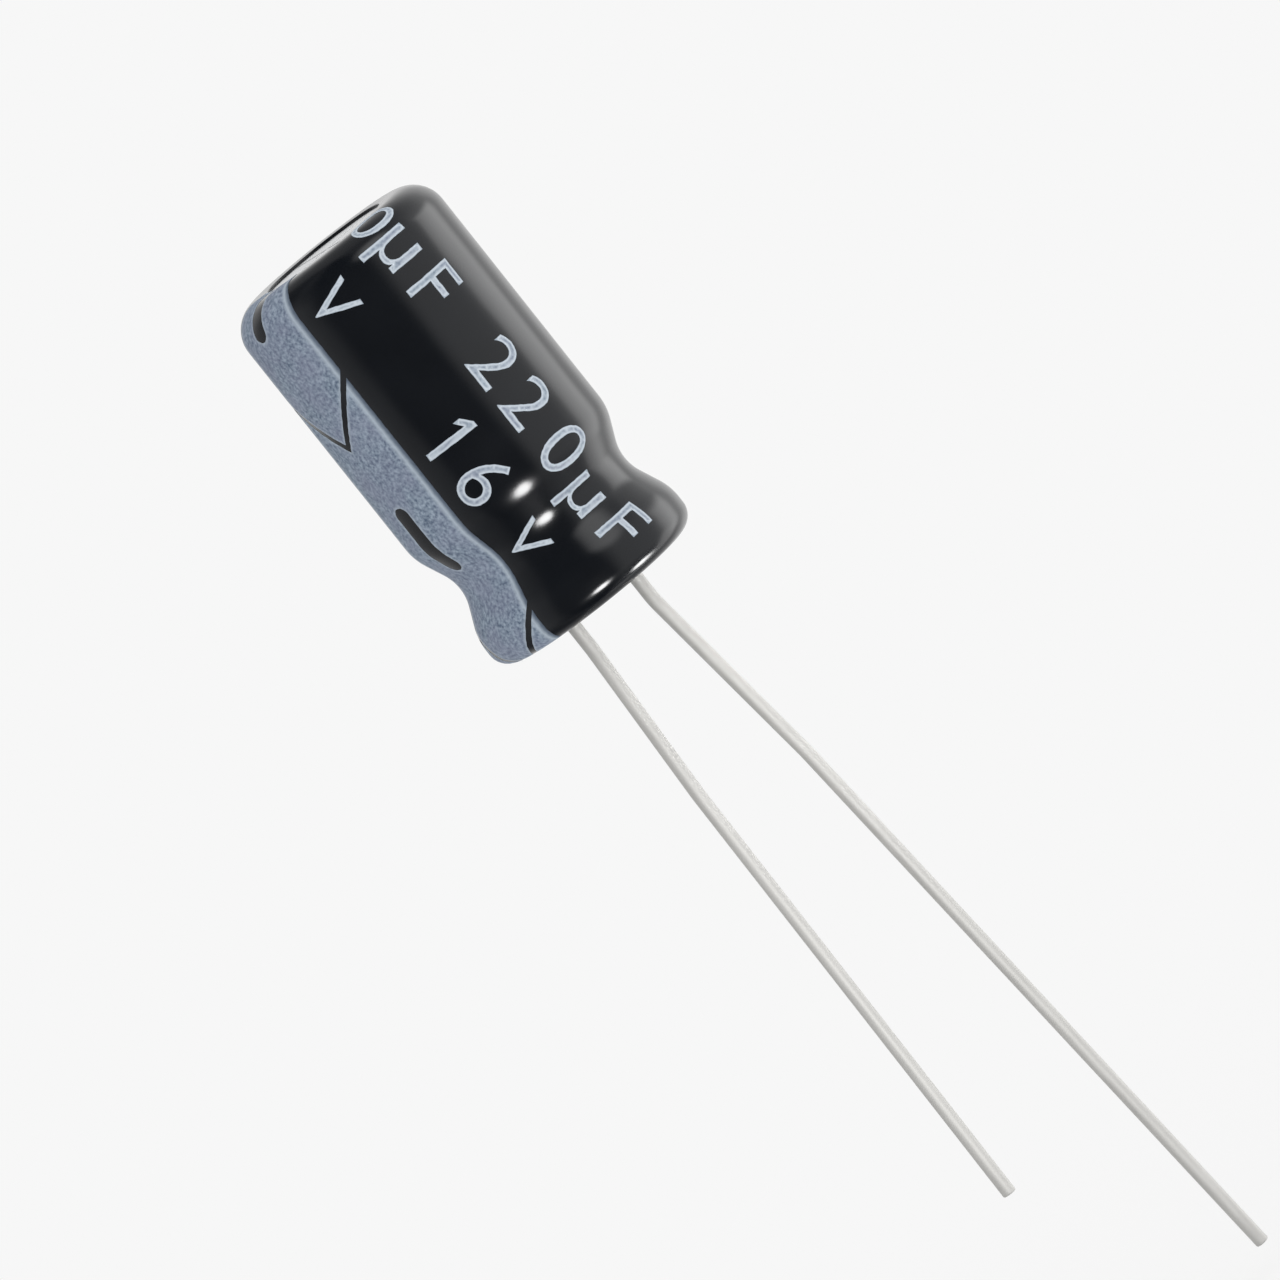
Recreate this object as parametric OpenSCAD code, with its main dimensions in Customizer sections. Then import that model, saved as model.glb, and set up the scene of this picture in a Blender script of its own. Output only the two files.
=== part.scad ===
// Radial aluminium electrolytic capacitor: a wound foil roll in a beaded can, closed by a rubber bung,
// dressed in a heat-shrunk sleeve and standing on two stiff tinned wires of unequal length.
// Millimetres. The origin lies midway between the leads on the plane that the board touches, +Z points
// to the can's crown, and the cathode lead and the polarity stripe are on the -X side.

/* [Can] */
// Outer diameter of the bare can
can_d = 6.3; // [6:0.1:8]
// Height of the bare can, from its curled rim to its crown
can_h = 11.6; // [10.5:0.1:14]
// Wall thickness of the can
can_wall = 0.25; // [0.15:0.01:0.3]
// Thickness of the can's crown
crown_t = 0.3; // [0.2:0.01:0.5]
// Radius of the crown's outer corner
crown_r = 0.8; // [0.4:0.05:1]
// Radius of the rim's outer corner, where the wall curls in over the bung
rim_r = 0.4; // [0.35:0.05:0.6]
// Distance that the rim curls in from the can's side
curl_w = 0.9; // [0.7:0.05:1.1]

/* [Bead] */
// Height of the bead's waist above the board
bead_z = 2.47; // [2.3:0.01:2.8]
// Depth of the rolled bead
bead_depth = 0.49; // [0.3:0.01:0.55]
// Radius of the bead's waist and of its two shoulders
bead_r = 1.5; // [1:0.05:1.6]
// Slope of the bead's flanks away from the can's side, in degrees
bead_slope = 24; // [22:0.5:28]

/* [Vent] */
// Length of each stroke of the cross scored into the crown
vent_l = 3.4; // [2:0.1:4]
// Width of the score
vent_w = 0.14; // [0.08:0.01:0.3]
// Depth of the score
vent_depth = 0.12; // [0.05:0.01:0.16]

/* [Sleeve] */
// Thickness of the shrunk sleeve
sleeve_t = 0.15; // [0.08:0.01:0.2]
// Distance by which the sleeve laps over the crown, measured from the can's side
crown_lap = 1.05; // [0.95:0.05:1.55]
// Distance by which the sleeve laps under the rim, measured from the can's side
foot_lap = 0.65; // [0.6:0.05:0.8]

/* [Polarity stripe] */
// Thickness of the ink
ink_t = 0.02; // [0.01:0.005:0.04]
// Width of the stripe, measured round the sleeve
stripe_w = 3.2; // [2:0.1:4]
// Distance along the can from one set of marks to the next
mark_pitch = 8.1; // [7:0.1:9]
// Height of the middle of the lower minus bar
bar_z = 4.07; // [3.8:0.01:4.4]
// Length of a minus bar
bar_l = 2.35; // [1.5:0.05:3]
// Width of a minus bar
bar_w = 0.7; // [0.2:0.05:0.9]
// Height of the upper arrowhead's tip, which points to the leads
arrow_z = 7.4; // [7:0.1:7.6]
// Slope of the arrowhead's arms, in degrees
arrow_slope = 47.5; // [40:0.5:55]
// Width of the arrowhead's line
arrow_w = 0.18; // [0.08:0.01:0.25]

/* [Bung] */
// Thickness of the rubber bung inside the curled rim
bung_h = 3.2; // [2.8:0.05:3.5]
// Height of the bung's exposed face above the board
bung_recess = 0.3; // [0.2:0.01:0.35]
// Height above the board of the ledge in each hole, on which a tab's foot rests
ledge_z = 1.1; // [0.9:0.05:1.4]

/* [Leads] */
// Distance between the leads where they leave the bung
lead_pitch = 2.5; // [2.2:0.1:2.8]
// Diameter of the tinned wire
wire_d = 0.4; // [0.36:0.01:0.6]
// Length of the cathode lead below the board's plane, along the wire
cathode_l = 19.5; // [12:0.1:24]
// Length of the anode lead below the board's plane, along the wire
anode_l = 25.4; // [16:0.1:30]
// Length of each lead that runs straight down before its first bend
straight_l = 0.9; // [0.8:0.1:3]
// Angle by which the cathode lead splays at its first bend
cathode_splay_angle = 2.8; // [1:0.1:6]
// Length of the cathode lead between its two bends
cathode_run = 4.7; // [3:0.1:8]
// Angle by which the cathode lead comes back at its second bend
cathode_back_angle = 2.2; // [0.5:0.1:4]
// Angle by which the anode lead splays at its first bend
anode_splay_angle = 7.8; // [2:0.1:14]
// Length of the anode lead between its two bends
anode_run = 5.6; // [1:0.1:8]
// Angle by which the anode lead comes back at its second bend
anode_back_angle = 2.6; // [0.5:0.1:8]
// Radius of the wire's centre line in a bend
bend_r = 3; // [2:0.5:8]

/* [Tabs] */
// Diameter of a tab's round stem, which fills its hole in the bung
stem_d = 0.9; // [0.8:0.01:1]
// Height by which the stem stands above the bung
stem_rise = 0.25; // [0.15:0.01:0.35]
// Diameter of the weld between stem and wire
weld_d = 0.76; // [0.62:0.01:0.78]
// Width of the tab's flat paddle, which is wound into the roll
paddle_w = 1.4; // [1:0.1:1.6]
// Thickness of the paddle
paddle_t = 0.2; // [0.1:0.01:0.3]

/* [Winding] */
// Gap between the bung and the roll
roll_base_gap = 0.5; // [0.4:0.05:0.8]
// Gap between the roll and the crown
roll_top_gap = 0.4; // [0.2:0.05:0.8]
// Gap between the wrapped roll and the can's wall
roll_side_gap = 0.08; // [0.03:0.01:0.2]
// Radius of the hole that the winding spindle leaves
core_r = 0.45; // [0.3:0.05:0.55]
// Distance between the turns that show at the roll's ends
turn_pitch = 0.36; // [0.3:0.02:0.6]
// Thickness of a turn's paper edge
paper_t = 0.16; // [0.1:0.02:0.2]
// Height by which the paper stands beyond the foil at each end
paper_rise = 0.2; // [0.1:0.01:0.3]
// Distance by which the paddle stops short of the roll's top
paddle_short = 1.2; // [0.6:0.1:2]
// Thickness of the tape round the roll
tape_t = 0.05; // [0.03:0.01:0.1]
// Distance between the tape's edges and the roll's ends
tape_inset = 0.9; // [0.6:0.1:2]

/* [Hidden] */
$fn = 96;

// Clearance between pieces that bear on each other
fit = 0.01;
// Overlap that makes cuts run through and joined forms share material
eps = 0.05;
// Extra radius of the wire in its bends, so that the straight runs start inside them
bend_swell = 0.002;
// Steps in each arc of the can's outline
arc_steps = 7;
// Points in each turn of the roll
turn_steps = 20;

can_r = can_d / 2;
rim_z = sleeve_t + fit;
crown_z = rim_z + can_h;
curl_edge_r = can_r - curl_w;
// The flanks touch the arcs of waist and shoulder, which sets the bead's half height
bead_half = (2 * bead_r * (1 - cos(bead_slope)) + bead_depth * cos(bead_slope)) / sin(bead_slope);

sleeve_g = fit + sleeve_t;
body_top_z = crown_z + sleeve_g;
crown_hole_r = can_r - crown_lap;
foot_hole_r = can_r - foot_lap;
stripe_angle = stripe_w / (can_r + sleeve_g) * 180 / PI;

curl_top_z = rim_z + can_wall + fit;
bung_top_z = curl_top_z + bung_h;
stem_r = stem_d / 2;
hole_r = stem_r + fit;
ledge_hole_r = weld_d / 2 + fit;
stem_top_z = bung_top_z + stem_rise;

roll_r = can_r - can_wall - roll_side_gap - tape_t - fit;
roll_z0 = bung_top_z + roll_base_gap;
roll_z1 = crown_z - crown_t - roll_top_gap;
foil_z0 = roll_z0 + paper_rise;
foil_z1 = roll_z1 - paper_rise;
paddle_top_z = roll_z1 - paddle_short;

wire_r = wire_d / 2;
// The weld's taper ends just above the board's plane, so the wire itself crosses that plane
wire_top_z = eps;
lead_x = lead_pitch / 2;

function arc(centre, r, from, to) = [
    for (i = [0:arc_steps])
        let (a = from + (to - from) * i / arc_steps)
            centre + r * [cos(a), sin(a)]
];

// The can's outer surface moved outwards by g, from the rim's corner up to the crown's corner.
// A negative g gives the surfaces inside it, and drop lowers the crown's corner.
function outline(g, drop = 0) = concat(
    arc([can_r - rim_r, rim_z + rim_r], rim_r + g, -90, 0),
    arc([can_r - bead_r, bead_z - bead_half], bead_r + g, 0, bead_slope),
    arc([can_r - bead_depth + bead_r, bead_z], bead_r - g, 180 + bead_slope, 180 - bead_slope),
    arc([can_r - bead_r, bead_z + bead_half], bead_r + g, -bead_slope, 0),
    arc([can_r - crown_r, crown_z - crown_r - drop], crown_r + g, 0, 90)
);

function reversed(points) = [for (i = [len(points) - 1:-1:0]) points[i]];

// Half section of a skin that follows the can between the offsets g0 and g1
module skin(g0, g1, foot_r, crown_hole) {
    polygon(concat(
        [[foot_r, rim_z - g1]],
        outline(g1),
        [[crown_hole, crown_z + g1], [crown_hole, crown_z + g0]],
        reversed(outline(g0)),
        [[foot_r, rim_z - g0]]
    ));
}

// Heat-shrunk tube that grips the can and laps over its crown and under its rim
module sleeve() {
    color("#1d1d20")
        rotate_extrude()
            skin(fit, sleeve_g, foot_hole_r, crown_hole_r);
}

// Line of an arrowhead's arm, from its tip up to one side
module arrow_arm(side) {
    reach = stripe_w / cos(arrow_slope);
    rotate([side * arrow_slope, 0, 0])
        translate([-can_d, side > 0 ? -arrow_w / 2 : arrow_w / 2 - reach, -arrow_w / 2])
            cube([can_d, reach, arrow_w]);
}

// Field of ink on the -X side, with arrowheads and minus bars left open to the sleeve
module polarity_stripe() {
    color("#9aa7b8")
        difference() {
            rotate([0, 0, 180 - stripe_angle / 2])
                rotate_extrude(angle = stripe_angle)
                    intersection() {
                        skin(sleeve_g, sleeve_g + ink_t, foot_hole_r, crown_hole_r + ink_t);
                        translate([0, ink_t])
                            square([can_d, body_top_z + can_r]);
                    }
            for (z = [bar_z, bar_z + mark_pitch])
                translate([-can_d, -bar_w / 2, z - bar_l / 2])
                    cube([can_d, bar_w, bar_l]);
            for (z = [arrow_z, arrow_z - mark_pitch], side = [-1, 1])
                translate([0, 0, z])
                    arrow_arm(side);
        }
}

// Drawn aluminium cup with a rolled bead, a curled rim and a cross scored into its crown
module can() {
    color("#c9ccd0")
        difference() {
            rotate_extrude()
                polygon(concat(
                    [[curl_edge_r, rim_z]],
                    outline(0),
                    [[0, crown_z], [0, crown_z - crown_t]],
                    reversed(outline(-can_wall, crown_t - can_wall)),
                    [[curl_edge_r, rim_z + can_wall]]
                ));
            for (turn = [0, 90])
                rotate([0, 0, turn])
                    translate([-vent_l / 2, -vent_w / 2, crown_z - vent_depth])
                        cube([vent_l, vent_w, vent_depth + eps]);
        }
}

// Moulded rubber bung, nipped by the bead and held in by the curled rim, with a stepped hole for each tab
module bung() {
    edge_r = curl_edge_r - fit;
    color("#2b2a2a")
        difference() {
            intersection() {
                rotate_extrude()
                    polygon(concat(
                        [[0, bung_recess], [edge_r, bung_recess], [edge_r, curl_top_z]],
                        outline(-can_wall - fit),
                        [[0, crown_z - can_wall - fit]]
                    ));
                cylinder(h = bung_top_z, r = can_d);
            }
            for (x = [-lead_x, lead_x])
                translate([x, 0, 0]) {
                    cylinder(h = ledge_z + eps, r = ledge_hole_r);
                    translate([0, 0, ledge_z])
                        cylinder(h = bung_top_z, r = hole_r);
                }
        }
}

function spiral(r, from, to) = [
    for (i = [0:turn_steps * (to - from)])
        let (turns = i / turn_steps)
            (r + turns * turn_pitch) * [cos(360 * turns), sin(360 * turns)]
];

// Edges of the wound paper, one spiral wall from the core to the outside
module paper_edges(h) {
    first_r = core_r + eps;
    turns = floor((roll_r - paper_t - first_r) / turn_pitch);
    linear_extrude(h)
        polygon(concat(spiral(first_r + paper_t, 0, turns), reversed(spiral(first_r, 0, turns))));
}

// Roll of anode foil, cathode foil and paper, wound over the paddles of both tabs
module winding() {
    slot_w = paddle_w + 2 * fit;
    slot_t = paddle_t + 2 * fit;
    color("#b9a888")
        difference() {
            union() {
                translate([0, 0, foil_z0])
                    cylinder(h = foil_z1 - foil_z0, r = roll_r);
                translate([0, 0, roll_z0])
                    paper_edges(paper_rise + eps);
                translate([0, 0, foil_z1 - eps])
                    paper_edges(paper_rise + eps);
            }
            translate([0, 0, roll_z0 - eps])
                cylinder(h = roll_z1 - roll_z0 + 2 * eps, r = core_r);
            for (x = [-lead_x, lead_x])
                translate([x - slot_t / 2, -slot_w / 2, roll_z0 - eps])
                    cube([slot_t, slot_w, paddle_top_z - roll_z0 + eps + fit]);
        }
}

// Band of tape that holds the roll's outer end down
module winding_tape() {
    z0 = foil_z0 + tape_inset;
    color("#d8c48a")
        translate([0, 0, z0])
            difference() {
                cylinder(h = foil_z1 - tape_inset - z0, r = roll_r + fit + tape_t);
                translate([0, 0, -eps])
                    cylinder(h = foil_z1, r = roll_r + fit);
            }
}

// Aluminium tab: a round stem through the bung, hammered flat into a paddle above it
module tab() {
    color("#bfc2c6") {
        translate([0, 0, ledge_z + fit])
            cylinder(h = stem_top_z - ledge_z - fit, r = stem_r);
        translate([-paddle_t / 2, -paddle_w / 2, stem_top_z - eps])
            cube([paddle_t, paddle_w, paddle_top_z - stem_top_z + eps]);
    }
}

module anode_tab() {
    translate([lead_x, 0, 0])
        tab();
}

module cathode_tab() {
    translate([-lead_x, 0, 0])
        tab();
}

// Bend of a wire that comes down the Z axis and turns towards +X
module bend(angle) {
    rotate([-90, 0, 180])
        translate([-bend_r, 0, 0])
            rotate_extrude(angle = angle)
                translate([bend_r, 0])
                    circle(r = wire_r + bend_swell);
}

// Places what follows a bend at its end, in line with it
module after_bend(angle) {
    translate([bend_r * (1 - cos(angle)), 0, -bend_r * sin(angle)])
        rotate([0, -angle, 0])
            children();
}

// Straight run that starts inside the bend above it and goes past its end by the given overlap
module run(length, past) {
    translate([0, 0, -length - past])
        cylinder(h = length + past + eps, r = wire_r);
}

// Weld's taper and the straight wire below it
module lead_root() {
    rotate_extrude()
        polygon([[0, ledge_z], [weld_d / 2, ledge_z], [wire_r, wire_top_z],
            [wire_r, -straight_l - eps], [0, -straight_l - eps]]);
}

// Tinned wire with its weld to the tab, straight at first, then splayed, then eased back
module lead(length, splay_angle, splay_run, back_angle) {
    bends_l = bend_r * (splay_angle + back_angle) * PI / 180;
    color("#c4c6c8") {
        lead_root();
        translate([0, 0, -straight_l]) {
            bend(splay_angle);
            after_bend(splay_angle) {
                run(splay_run, eps);
                translate([0, 0, -splay_run])
                    mirror([1, 0, 0]) {
                        bend(back_angle);
                        after_bend(back_angle)
                            run(length - straight_l - splay_run - bends_l, 0);
                    }
            }
        }
    }
}

module anode_lead() {
    translate([lead_x, 0, 0])
        lead(anode_l, anode_splay_angle, anode_run, anode_back_angle);
}

module cathode_lead() {
    translate([-lead_x, 0, 0])
        mirror([1, 0, 0])
            lead(cathode_l, cathode_splay_angle, cathode_run, cathode_back_angle);
}

sleeve();
polarity_stripe();
can();
bung();
winding();
winding_tape();
anode_tab();
cathode_tab();
anode_lead();
cathode_lead();
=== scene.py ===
import math

import bmesh
import bpy
from mathutils import Matrix, Vector, kdtree, noise


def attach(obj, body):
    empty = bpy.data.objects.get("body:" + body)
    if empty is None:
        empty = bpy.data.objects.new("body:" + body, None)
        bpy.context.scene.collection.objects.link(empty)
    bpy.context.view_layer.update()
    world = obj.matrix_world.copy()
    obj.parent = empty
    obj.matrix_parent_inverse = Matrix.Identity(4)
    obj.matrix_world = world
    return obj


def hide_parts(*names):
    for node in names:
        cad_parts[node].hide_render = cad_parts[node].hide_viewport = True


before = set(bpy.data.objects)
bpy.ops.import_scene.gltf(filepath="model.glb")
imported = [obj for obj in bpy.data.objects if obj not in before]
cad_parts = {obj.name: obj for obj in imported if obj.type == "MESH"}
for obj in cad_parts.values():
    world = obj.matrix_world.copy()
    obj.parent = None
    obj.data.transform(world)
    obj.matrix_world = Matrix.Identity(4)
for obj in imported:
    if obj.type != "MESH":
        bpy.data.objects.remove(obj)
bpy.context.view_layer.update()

scene = bpy.context.scene
scene.view_settings.view_transform = "Standard"

# Camera. A long lens looks at the capacitor almost level with its seating plane, from the side that
# has the stripe, and is rolled so that the leads point to the lower right. Lengths are in millimetres.
MM = 0.001
FRAME_PX = 1280
FOCAL_PX = 14940.0
SENSOR_MM = 36.0
DISTANCE = 400.0
AZIMUTH = math.radians(-32.0)
ELEVATION = math.radians(5.95)
ROLL = math.radians(-38.492)
BODY_CENTRE = Vector((0, 0, 6.0))
BODY_CENTRE_PX = (460.5, 420.0)

towards_camera = Vector((
    math.sin(AZIMUTH) * math.cos(ELEVATION),
    -math.cos(AZIMUTH) * math.cos(ELEVATION),
    math.sin(ELEVATION),
))
level_right = Vector((math.cos(AZIMUTH), math.sin(AZIMUTH), 0))
level_up = towards_camera.cross(level_right)
camera_right = level_right * math.cos(ROLL) + level_up * math.sin(ROLL)
camera_up = level_up * math.cos(ROLL) - level_right * math.sin(ROLL)
across = (BODY_CENTRE_PX[0] - FRAME_PX / 2) / FOCAL_PX * DISTANCE
down = (BODY_CENTRE_PX[1] - FRAME_PX / 2) / FOCAL_PX * DISTANCE
camera_place = BODY_CENTRE - camera_right * across + camera_up * down + towards_camera * DISTANCE

camera = bpy.data.objects.new("camera", bpy.data.cameras.new("camera"))
scene.collection.objects.link(camera)
camera.data.sensor_width = SENSOR_MM
camera.data.lens = FOCAL_PX / FRAME_PX * SENSOR_MM
camera.data.clip_start = 0.01
camera.data.clip_end = 10
turn = Matrix((camera_right, camera_up, towards_camera)).transposed().to_4x4()
camera.matrix_world = Matrix.Translation(camera_place * MM) @ turn
scene.camera = camera


# Can. A cup drawn from aluminium sheet, with a bead rolled in to nip the bung, a rim curled in under
# it, and a cross scored into the crown that opens if gas builds up inside. The sleeve leaves only the
# middle of the crown and the curl of the rim bare.
CAN_R = 3.15
CAN_WALL = 0.25
CROWN_T = 0.3
CROWN_R = 0.8
RIM_R = 0.4
RIM_Z = 0.16
CROWN_Z = 11.82
CURL_EDGE_R = 2.25
BEAD_Z = 2.47
BEAD_DEPTH = 0.49
BEAD_R = 1.5
BEAD_SLOPE = 24.0
VENT_L = 3.4
VENT_W = 0.14
VENT_DEPTH = 0.12
PUNCH_RISE = 0.05
ROUND_SIDES = 192

slope = math.radians(BEAD_SLOPE)
bead_half = (2 * BEAD_R * (1 - math.cos(slope)) + BEAD_DEPTH * math.cos(slope)) / math.sin(slope)


def arc(centre, radius, start, end, steps=14):
    """Points (r, z) on an arc from one angle to another, in degrees."""
    points = []
    for i in range(steps + 1):
        angle = math.radians(start + (end - start) * i / steps)
        points.append((centre[0] + radius * math.cos(angle), centre[1] + radius * math.sin(angle)))
    return points


def outline(gap, drop=0.0):
    """The can's outer surface moved outwards by gap, from the rim's corner up to the crown's, which may
    sit lower by drop."""
    return (
        arc((CAN_R - RIM_R, RIM_Z + RIM_R), RIM_R + gap, -90, 0)
        + arc((CAN_R - BEAD_R, BEAD_Z - bead_half), BEAD_R + gap, 0, BEAD_SLOPE)
        + arc((CAN_R - BEAD_DEPTH + BEAD_R, BEAD_Z), BEAD_R - gap, 180 + BEAD_SLOPE, 180 - BEAD_SLOPE)
        + arc((CAN_R - BEAD_R, BEAD_Z + bead_half), BEAD_R + gap, -BEAD_SLOPE, 0)
        + arc((CAN_R - CROWN_R, CROWN_Z - CROWN_R - drop), CROWN_R + gap, 0, 90)
    )


def finish_mesh(name, mesh_data, material, replaced=(), sharp_deg=32.0):
    """Makes a piece from a bmesh in millimetres: outward faces, smooth but for its real edges."""
    bmesh.ops.remove_doubles(mesh_data, verts=mesh_data.verts, dist=1e-5)
    bmesh.ops.recalc_face_normals(mesh_data, faces=mesh_data.faces)
    for face in mesh_data.faces:
        face.smooth = True
    for edge in mesh_data.edges:
        edge.smooth = len(edge.link_faces) == 2 and edge.calc_face_angle() < math.radians(sharp_deg)
    bmesh.ops.scale(mesh_data, vec=(MM, MM, MM), verts=mesh_data.verts)
    mesh = bpy.data.meshes.new(name)
    mesh_data.to_mesh(mesh)
    mesh_data.free()
    piece = bpy.data.objects.new(name, mesh)
    scene.collection.objects.link(piece)
    mesh.materials.append(material)
    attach(piece, "root")
    if replaced:
        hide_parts(*replaced)
    return piece


def revolve(section, sides=ROUND_SIDES, nudge=None):
    """Turns a closed half section (r, z) round the Z axis. nudge may move a ring point (r, z, angle)."""
    made = bmesh.new()
    rings = []
    for r, z in section:
        if r < 1e-6:
            rings.append([made.verts.new((0, 0, z))])
            continue
        ring = []
        for i in range(sides):
            angle = 2 * math.pi * i / sides
            radius = nudge(r, z, angle) if nudge else r
            ring.append(made.verts.new((radius * math.cos(angle), radius * math.sin(angle), z)))
        rings.append(ring)
    for low, high in zip(rings, rings[1:] + rings[:1]):
        if len(low) == 1 and len(high) == 1:
            continue
        for i in range(sides):
            j = (i + 1) % sides
            if len(low) == 1:
                made.faces.new((low[0], high[i], high[j]))
            elif len(high) == 1:
                made.faces.new((low[i], low[j], high[0]))
            else:
                made.faces.new((low[i], low[j], high[j], high[i]))
    return made


def cut(blank, tool):
    """Takes one closed bmesh out of another and gives the rest back as a bmesh."""
    objects = []
    for made in (blank, tool):
        bmesh.ops.recalc_face_normals(made, faces=made.faces)
        mesh = bpy.data.meshes.new("cutting")
        made.to_mesh(mesh)
        made.free()
        objects.append(bpy.data.objects.new("cutting", mesh))
        scene.collection.objects.link(objects[-1])
    modifier = objects[0].modifiers.new("cut", "BOOLEAN")
    modifier.operation = "DIFFERENCE"
    modifier.solver = "EXACT"
    modifier.object = objects[1]
    bpy.context.view_layer.update()
    evaluated = objects[0].evaluated_get(bpy.context.evaluated_depsgraph_get())
    rest = bmesh.new()
    rest.from_mesh(evaluated.to_mesh())
    for each in objects:
        mesh = each.data
        bpy.data.objects.remove(each)
        bpy.data.meshes.remove(mesh)
    return rest


def colour(code):
    """An sRGB hex colour as the linear RGBA that Blender takes."""
    channels = [int(code[i:i + 2], 16) / 255 for i in (1, 3, 5)]
    return [c / 12.92 if c <= 0.04045 else ((c + 0.055) / 1.055) ** 2.4 for c in channels] + [1.0]


def add(tree, kind, inputs=None, **settings):
    """Adds a node, sets its properties, and links or sets each input."""
    made = tree.nodes.new(kind)
    for name, value in settings.items():
        setattr(made, name, value)
    for name, value in (inputs or {}).items():
        if isinstance(value, bpy.types.NodeSocket):
            tree.links.new(value, made.inputs[name])
        else:
            made.inputs[name].default_value = value
    return made


def new_material(name):
    """An empty node material and its tree."""
    material = bpy.data.materials.new(name)
    material.use_nodes = True
    material.node_tree.nodes.clear()
    return material, material.node_tree


def drawn_aluminium():
    """Aluminium drawn in a die: bright, with a cloudy haze and the fine grain that the stretch leaves."""
    material, tree = new_material("drawn_aluminium")
    place = add(tree, "ShaderNodeTexCoord").outputs["Object"]
    haze = add(tree, "ShaderNodeTexNoise", {"Vector": place, "Scale": 1 / (0.35 * MM), "Detail": 4.0})
    tone = add(tree, "ShaderNodeMix", {
        "Factor": haze.outputs["Fac"], "A": colour("#e2e4e6"), "B": colour("#f2f3f4")},
        data_type="RGBA")
    gloss = add(tree, "ShaderNodeMapRange", {"Value": haze.outputs["Fac"], "To Min": 0.36, "To Max": 0.5})
    peel = add(tree, "ShaderNodeTexNoise", {"Vector": place, "Scale": 1 / (0.08 * MM), "Detail": 2.0})
    bump = add(tree, "ShaderNodeBump", {
        "Height": peel.outputs["Fac"], "Distance": 0.002 * MM, "Strength": 0.4})
    metal = add(tree, "ShaderNodeBsdfPrincipled", {
        "Base Color": tone.outputs["Result"], "Metallic": 1.0, "Roughness": gloss.outputs["Result"],
        "Normal": bump.outputs["Normal"]})
    add(tree, "ShaderNodeOutputMaterial", {"Surface": metal.outputs["BSDF"]})
    return material


def score(turn_deg):
    """Wedge that the score's punch leaves along one stroke of the cross."""
    tool = bmesh.new()
    turned = Matrix.Rotation(math.radians(turn_deg), 3, "Z")
    top_y = VENT_W * (1 + PUNCH_RISE / VENT_DEPTH) / 2
    top_z = CROWN_Z + PUNCH_RISE
    ends = []
    for side in (-1, 1):
        corners = [(-top_y, top_z), (0, CROWN_Z - VENT_DEPTH), (top_y, top_z)]
        ends.append([tool.verts.new(turned @ Vector((side * VENT_L / 2, y, z))) for y, z in corners])
    tool.faces.new(ends[0])
    tool.faces.new(ends[1])
    for i in range(3):
        j = (i + 1) % 3
        tool.faces.new((ends[0][i], ends[0][j], ends[1][j], ends[1][i]))
    return tool


aluminium = drawn_aluminium()
can_section = (
    [(CURL_EDGE_R, RIM_Z)]
    + outline(0)
    + [(0, CROWN_Z), (0, CROWN_Z - CROWN_T)]
    + outline(-CAN_WALL, CROWN_T - CAN_WALL)[::-1]
    + [(CURL_EDGE_R, RIM_Z + CAN_WALL)]
)
cup = cut(cut(revolve(can_section), score(0)), score(90))
finish_mesh("can_shell", cup, aluminium, ["can"])


# Roll. Anode foil, cathode foil and two papers are wound over the flat ends of both tabs, held by a
# turn of clear film tape and soaked with electrolyte. Nothing of it shows from outside the can.
def foil_and_paper():
    """Damp kraft paper over dull etched foil, with the turns' edges as fine rings."""
    material, tree = new_material("foil_and_paper")
    place = add(tree, "ShaderNodeTexCoord").outputs["Object"]
    rings = add(tree, "ShaderNodeTexWave", {"Vector": place, "Scale": 1 / (0.36 * MM), "Distortion": 1.5},
                wave_type="RINGS", rings_direction="Z")
    fibre = add(tree, "ShaderNodeTexNoise", {"Vector": place, "Scale": 1 / (0.1 * MM), "Detail": 5.0})
    both = add(tree, "ShaderNodeMath", {
        0: rings.outputs["Fac"], 1: fibre.outputs["Fac"]}, operation="MULTIPLY")
    tone = add(tree, "ShaderNodeMix", {
        "Factor": both.outputs["Value"], "A": colour("#a8936a"), "B": colour("#c8bb9a")},
        data_type="RGBA")
    bump = add(tree, "ShaderNodeBump", {"Height": both.outputs["Value"], "Distance": 0.01 * MM})
    damp = add(tree, "ShaderNodeBsdfPrincipled", {
        "Base Color": tone.outputs["Result"], "Roughness": 0.55, "Normal": bump.outputs["Normal"]})
    add(tree, "ShaderNodeOutputMaterial", {"Surface": damp.outputs["BSDF"]})
    return material


def film_tape():
    """Yellowish polypropylene film: glossy, softly wrinkled and uneven in tone."""
    material, tree = new_material("film_tape")
    place = add(tree, "ShaderNodeTexCoord").outputs["Object"]
    wrinkle = add(tree, "ShaderNodeTexNoise", {"Vector": place, "Scale": 1 / (0.6 * MM), "Detail": 3.0})
    tone = add(tree, "ShaderNodeMix", {
        "Factor": wrinkle.outputs["Fac"], "A": colour("#c49b45"), "B": colour("#d8bc74")},
        data_type="RGBA")
    bump = add(tree, "ShaderNodeBump", {"Height": wrinkle.outputs["Fac"], "Distance": 0.01 * MM})
    film = add(tree, "ShaderNodeBsdfPrincipled", {
        "Base Color": tone.outputs["Result"], "Roughness": 0.25, "Normal": bump.outputs["Normal"]})
    add(tree, "ShaderNodeOutputMaterial", {"Surface": film.outputs["BSDF"]})
    return material


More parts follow.
